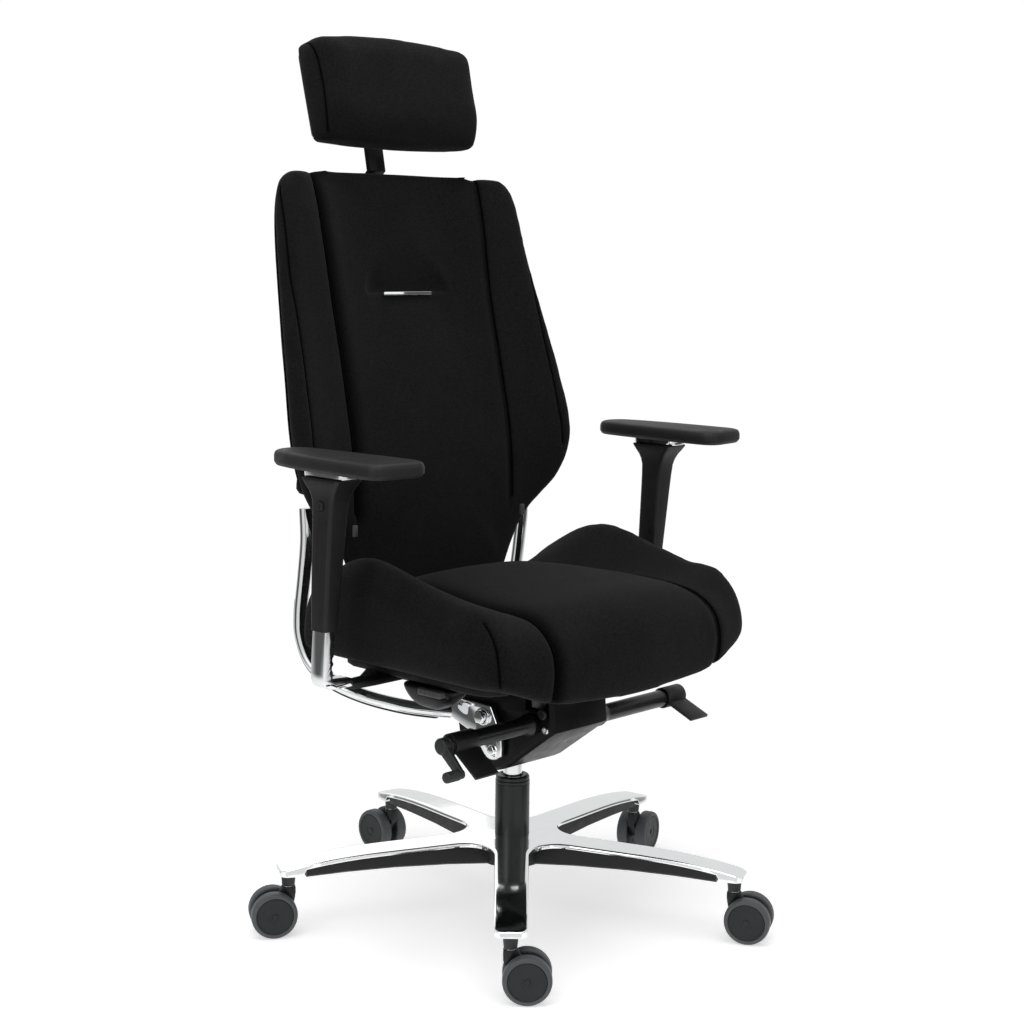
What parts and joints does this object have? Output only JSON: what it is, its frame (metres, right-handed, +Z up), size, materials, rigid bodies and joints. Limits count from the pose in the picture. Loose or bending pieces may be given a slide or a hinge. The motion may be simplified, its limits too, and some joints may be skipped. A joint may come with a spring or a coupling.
{
  "type": "swivel office chair",
  "caption": "High-back swivel chair with headrest, adjustable arms, tilting mechanism, gas lift and star base on twin-wheel castors.",
  "frame": {"origin": "middle of the bounding box on the floor; the column axis stands 6 mm to -X and 11 mm to -Y of it", "axes": "+Z up, -Y the way the sitter looks, +X the sitter's left"},
  "size_m": [0.7604, 0.7351, 1.2642],
  "materials": {
    "fabric_black": "woven wool-look upholstery, matt",
    "black_plastic": "fine moulded texture",
    "black_metal": "satin black powder coat",
    "chrome": "mirror polish",
    "polished_aluminium": "polished",
    "grey_rubber": "soft grey tread",
    "grey_plastic": "mid grey, matt",
    "soft_pad": "soft polyurethane skin"
  },
  "bodies": {
    "base": {"star_base": "polished_aluminium", "star_base_under_cover": "black_plastic", "gas_spring_tube": "black_metal", "column_collar": "black_plastic"},
    "castor_front": {"castor_front_stem": "chrome", "castor_front_housing": "black_plastic"},
    "castor_front_wheel_a": {"castor_front_wheel_a": "grey_rubber"},
    "castor_front_wheel_b": {"castor_front_wheel_b": "grey_rubber"},
    "castor_right": {"castor_right_stem": "chrome", "castor_right_housing": "black_plastic"},
    "castor_right_wheel_a": {"castor_right_wheel_a": "grey_rubber"},
    "castor_right_wheel_b": {"castor_right_wheel_b": "grey_rubber"},
    "castor_rear_right": {"castor_rear_right_stem": "chrome", "castor_rear_right_housing": "black_plastic"},
    "castor_rear_right_wheel_a": {"castor_rear_right_wheel_a": "grey_rubber"},
    "castor_rear_right_wheel_b": {"castor_rear_right_wheel_b": "grey_rubber"},
    "castor_rear_left": {"castor_rear_left_stem": "chrome", "castor_rear_left_housing": "black_plastic"},
    "castor_rear_left_wheel_a": {"castor_rear_left_wheel_a": "grey_rubber"},
    "castor_rear_left_wheel_b": {"castor_rear_left_wheel_b": "grey_rubber"},
    "castor_left": {"castor_left_stem": "chrome", "castor_left_housing": "black_plastic"},
    "castor_left_wheel_a": {"castor_left_wheel_a": "grey_rubber"},
    "castor_left_wheel_b": {"castor_left_wheel_b": "grey_rubber"},
    "gas_spring": {"gas_spring_piston": "chrome"},
    "mechanism": {"mechanism_housing": "black_metal", "main_axle": "chrome", "lever_tube_left": "black_plastic", "lever_tube_right": "black_plastic"},
    "tension_crank": {"tension_crank": "black_plastic"},
    "tilt_lock_lever": {"tilt_lock_lever": "black_plastic"},
    "height_lever": {"height_lever": "black_plastic"},
    "back_carrier": {"back_bar_left": "chrome", "back_bar_right": "chrome", "side_plate_left": "chrome", "side_plate_right": "chrome", "back_carrier_cover": "black_plastic"},
    "backrest": {"back_shell": "black_plastic", "back_cushion": "fabric_black", "back_slot_bar": "chrome", "headrest_guide": "black_plastic"},
    "headrest_post": {"headrest_post": "black_metal"},
    "headrest": {"headrest_bracket": "black_plastic", "headrest_plate": "chrome", "headrest_cushion": "fabric_black"},
    "seat_frame": {"seat_frame": "black_metal", "arm_bar_left": "polished_aluminium", "arm_bar_right": "polished_aluminium"},
    "seat": {"seat_pan": "black_plastic", "seat_cushion": "fabric_black", "seat_adjuster": "black_plastic"},
    "seat_depth_button": {"seat_depth_button": "grey_plastic"},
    "arm_left": {"arm_sleeve_left": "black_plastic"},
    "arm_button_left": {"arm_button_left": "black_plastic"},
    "arm_slider_left": {"arm_slider_left": "chrome"},
    "arm_pad_left": {"arm_pad_left": "soft_pad"},
    "arm_right": {"arm_sleeve_right": "black_plastic"},
    "arm_button_right": {"arm_button_right": "black_plastic"},
    "arm_slider_right": {"arm_slider_right": "chrome"},
    "arm_pad_right": {"arm_pad_right": "soft_pad"}
  },
  "joints": [
    {"name": "castor_front_swivel", "type": "hinge", "parent": "base", "child": "castor_front", "pos_m": [-0.24418, -0.23941, 0.08], "axis": [0, 0, 1], "continuous": true},
    {"name": "castor_front_wheel_a_spin", "type": "hinge", "parent": "castor_front", "child": "castor_front_wheel_a", "pos_m": [-0.22895, -0.25529, 0.0325], "axis": [0.7218, 0.6921, 0], "continuous": true},
    {"name": "castor_front_wheel_b_spin", "type": "hinge", "parent": "castor_front", "child": "castor_front_wheel_b", "pos_m": [-0.22895, -0.25529, 0.0325], "axis": [0.7218, 0.6921, 0], "continuous": true},
    {"name": "castor_right_swivel", "type": "hinge", "parent": "base", "child": "castor_right", "pos_m": [0.13763, -0.30811, 0.08], "axis": [0, 0, 1], "continuous": true},
    {"name": "castor_right_wheel_a_spin", "type": "hinge", "parent": "castor_right", "child": "castor_right_wheel_a", "pos_m": [0.14778, -0.32762, 0.0325], "axis": [0.887, 0.4617, 0], "continuous": true},
    {"name": "castor_right_wheel_b_spin", "type": "hinge", "parent": "castor_right", "child": "castor_right_wheel_b", "pos_m": [0.14778, -0.32762, 0.0325], "axis": [0.887, 0.4617, 0], "continuous": true},
    {"name": "castor_rear_right_swivel", "type": "hinge", "parent": "base", "child": "castor_rear_right", "pos_m": [0.32095, 0.03379, 0.08], "axis": [0, 0, 1], "continuous": true},
    {"name": "castor_rear_right_wheel_a_spin", "type": "hinge", "parent": "castor_rear_right", "child": "castor_rear_right_wheel_a", "pos_m": [0.34199, 0.04022, 0.0325], "axis": [-0.2924, 0.9563, 0], "continuous": true},
    {"name": "castor_rear_right_wheel_b_spin", "type": "hinge", "parent": "castor_rear_right", "child": "castor_rear_right_wheel_b", "pos_m": [0.34199, 0.04022, 0.0325], "axis": [-0.2924, 0.9563, 0], "continuous": true},
    {"name": "castor_rear_left_swivel", "type": "hinge", "parent": "base", "child": "castor_rear_left", "pos_m": [0.05244, 0.31378, 0.08], "axis": [0, 0, 1], "continuous": true},
    {"name": "castor_rear_left_wheel_a_spin", "type": "hinge", "parent": "castor_rear_left", "child": "castor_rear_left_wheel_a", "pos_m": [0.0529, 0.33578, 0.0325], "axis": [-0.9998, 0.0209, 0], "continuous": true},
    {"name": "castor_rear_left_wheel_b_spin", "type": "hinge", "parent": "castor_rear_left", "child": "castor_rear_left_wheel_b", "pos_m": [0.0529, 0.33578, 0.0325], "axis": [-0.9998, 0.0209, 0], "continuous": true},
    {"name": "castor_left_swivel", "type": "hinge", "parent": "base", "child": "castor_left", "pos_m": [-0.29683, 0.14494, 0.08], "axis": [0, 0, 1], "continuous": true},
    {"name": "castor_left_wheel_a_spin", "type": "hinge", "parent": "castor_left", "child": "castor_left_wheel_a", "pos_m": [-0.31565, 0.15634, 0.0325], "axis": [-0.518, -0.8554, 0], "continuous": true},
    {"name": "castor_left_wheel_b_spin", "type": "hinge", "parent": "castor_left", "child": "castor_left_wheel_b", "pos_m": [-0.31565, 0.15634, 0.0325], "axis": [-0.518, -0.8554, 0], "continuous": true},
    {"name": "gas_lift", "type": "slide", "parent": "base", "child": "gas_spring", "axis": [0, 0, 1], "range_m": [0, 0.11]},
    {"name": "seat_swivel", "type": "hinge", "parent": "gas_spring", "child": "mechanism", "pos_m": [-0.006, -0.011, 0.248], "axis": [0, 0, 1], "continuous": true},
    {"name": "tension_crank_turn", "type": "hinge", "parent": "mechanism", "child": "tension_crank", "pos_m": [-0.234, -0.101, 0.307], "axis": [-1, 0, 0], "continuous": true},
    {"name": "tilt_lock_lever_press", "type": "hinge", "parent": "mechanism", "child": "tilt_lock_lever", "pos_m": [-0.201, -0.101, 0.307], "axis": [-1, 0, 0], "range_deg": [0, 14], "stiffness_Nm_per_rad": 1.5},
    {"name": "height_lever_press", "type": "hinge", "parent": "mechanism", "child": "height_lever", "pos_m": [0.222, -0.116, 0.302], "axis": [-1, 0, 0], "range_deg": [0, 14], "stiffness_Nm_per_rad": 1.5},
    {"name": "back_recline", "type": "hinge", "parent": "mechanism", "child": "back_carrier", "pos_m": [-0.006, -0.018, 0.305], "axis": [-1, 0, 0], "range_deg": [0, 20]},
    {"name": "seat_tilt", "type": "hinge", "parent": "mechanism", "child": "seat_frame", "pos_m": [-0.006, -0.111, 0.338], "axis": [-1, 0, 0], "range_deg": [0, 6]},
    {"name": "back_height", "type": "slide", "parent": "back_carrier", "child": "backrest", "axis": [0, 0.2361, 0.9717], "range_m": [0, 0.06]},
    {"name": "headrest_height", "type": "slide", "parent": "backrest", "child": "headrest_post", "axis": [0, 0.1961, 0.9806], "range_m": [0, 0.055]},
    {"name": "headrest_tilt", "type": "hinge", "parent": "headrest_post", "child": "headrest", "pos_m": [-0.006, 0.304, 1.176], "axis": [1, 0, 0], "range_deg": [-15, 15]},
    {"name": "seat_depth", "type": "slide", "parent": "seat_frame", "child": "seat", "axis": [0, -1, 0], "range_m": [0, 0.05]},
    {"name": "seat_depth_button_press", "type": "slide", "parent": "seat", "child": "seat_depth_button", "axis": [1, 0, 0], "range_m": [0, 0.0025], "stiffness_N_per_m": 400},
    {"name": "arm_height_left", "type": "slide", "parent": "seat_frame", "child": "arm_left", "axis": [0, -0.0797, 0.9968], "range_m": [-0.045, 0.05]},
    {"name": "arm_button_left_press", "type": "slide", "parent": "arm_left", "child": "arm_button_left", "axis": [1, 0, 0], "range_m": [0, 0.0025], "stiffness_N_per_m": 300},
    {"name": "arm_pad_left_slide", "type": "slide", "parent": "arm_left", "child": "arm_slider_left", "axis": [0, -1, 0], "range_m": [-0.025, 0.03]},
    {"name": "arm_pad_left_turn", "type": "hinge", "parent": "arm_slider_left", "child": "arm_pad_left", "pos_m": [-0.338, 0.0017, 0.674], "axis": [0, 0, 1], "range_deg": [0, 20]},
    {"name": "arm_height_right", "type": "slide", "parent": "seat_frame", "child": "arm_right", "axis": [0, -0.0797, 0.9968], "range_m": [-0.045, 0.05]},
    {"name": "arm_button_right_press", "type": "slide", "parent": "arm_right", "child": "arm_button_right", "axis": [-1, 0, 0], "range_m": [0, 0.0025], "stiffness_N_per_m": 300},
    {"name": "arm_pad_right_slide", "type": "slide", "parent": "arm_right", "child": "arm_slider_right", "axis": [0, -1, 0], "range_m": [-0.025, 0.03]},
    {"name": "arm_pad_right_turn", "type": "hinge", "parent": "arm_slider_right", "child": "arm_pad_right", "pos_m": [0.326, 0.0017, 0.674], "axis": [0, 0, -1], "range_deg": [0, 20]}
  ],
  "couplings": [
    {"joint": "seat_tilt", "follows": "back_recline", "ratio": 0.3}
  ]
}
